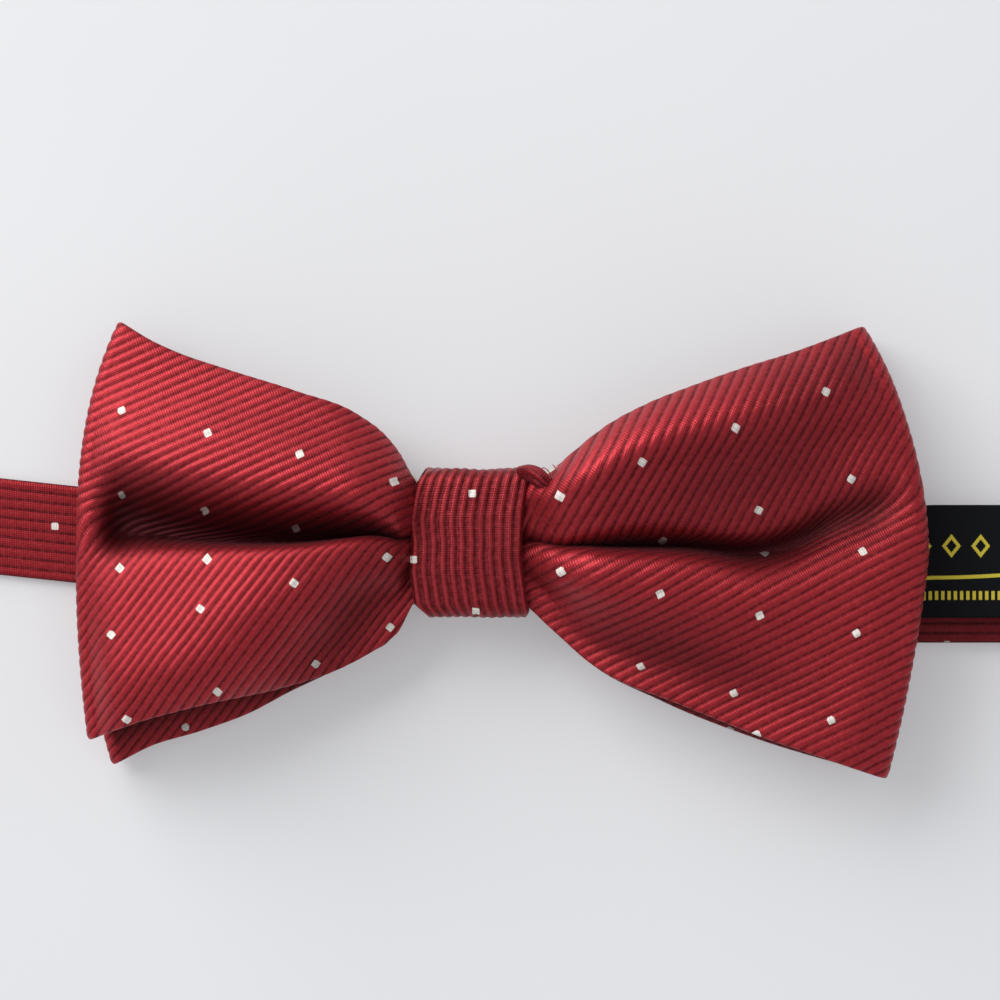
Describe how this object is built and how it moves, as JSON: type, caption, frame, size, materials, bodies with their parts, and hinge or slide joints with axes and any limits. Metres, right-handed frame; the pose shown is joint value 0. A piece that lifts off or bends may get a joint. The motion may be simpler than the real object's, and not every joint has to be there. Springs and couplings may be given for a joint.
{
  "type": "bow tie",
  "caption": "Pre-tied bow tie: two stacked cloth bows gathered in a wrapped knot, on an adjustable neckband with slider, hook and eye.",
  "frame": {"origin": "on the surface that the tie lies on, under the middle of the knot", "axes": "+X along the bow to its right wing, +Y towards its upper edge, +Z out of its front"},
  "size_m": [0.3876, 0.0631, 0.0188],
  "materials": {
    "ribbed_silk": "ribbed woven silk with small off-white woven squares, soft sheen",
    "knot_silk": "ribbed woven silk with its ribs along the bow tie's height, soft sheen",
    "band_silk": "ribbed woven silk with its ribs along the band",
    "interlining": "plain unbleached canvas",
    "sewing_thread": "twisted polyester sewing thread, dark red",
    "label_satin": "black woven satin with a plain gold line and geometric motifs",
    "label_thread": "black sewing thread",
    "nickel": "nickel-plated steel, satin"
  },
  "bodies": {
    "bow_and_band": {"front_bow_shell": "ribbed_silk", "front_bow_interlining": "interlining", "rear_bow_shell": "ribbed_silk", "rear_bow_interlining": "interlining", "bow_gather_thread": "sewing_thread", "knot_wrap": "knot_silk", "knot_interlining": "interlining", "knot_closing_stitches": "sewing_thread", "knot_tack_stitches": "sewing_thread", "neckband_main_run": "band_silk", "neckband_main_interlining": "interlining", "eye_bar_tack": "sewing_thread"},
    "eye_body": {"eye": "nickel"},
    "hook_end": {"neckband_outer_run": "band_silk", "neckband_outer_interlining": "interlining", "neckband_hook_fold": "band_silk", "neckband_hook_fold_interlining": "interlining"},
    "hook_body": {"hook": "nickel"},
    "slider_end": {"neckband_return_run": "band_silk", "neckband_return_run_interlining": "interlining", "neckband_return_tab": "band_silk", "neckband_return_tab_interlining": "interlining", "slider": "nickel", "woven_label": "label_satin", "label_stitches": "label_thread", "slider_bar_tack": "sewing_thread"}
  },
  "joints": [
    {"name": "eye_hinge", "type": "hinge", "parent": "bow_and_band", "child": "eye_body", "pos_m": [-0.14, 0.006, 0.00175], "axis": [0, 1, 0], "range_deg": [0, 120]},
    {"name": "hook_end_slide", "type": "slide", "parent": "bow_and_band", "child": "hook_end", "axis": [1, 0, 0], "range_m": [0, 0.079], "deforming": ["neckband_outer_run", "neckband_outer_interlining"]},
    {"name": "slider_slide", "type": "slide", "parent": "hook_end", "child": "slider_end", "axis": [1, 0, 0], "range_m": [0, 0.079], "deforming": ["neckband_return_run", "neckband_return_run_interlining"]},
    {"name": "hook_hinge", "type": "hinge", "parent": "hook_end", "child": "hook_body", "pos_m": [0.219, -0.0075, 0.0027], "axis": [0, -1, 0], "range_deg": [0, 150]}
  ],
  "couplings": [
    {"joint": "slider_slide", "follows": "hook_end_slide", "ratio": 1}
  ]
}
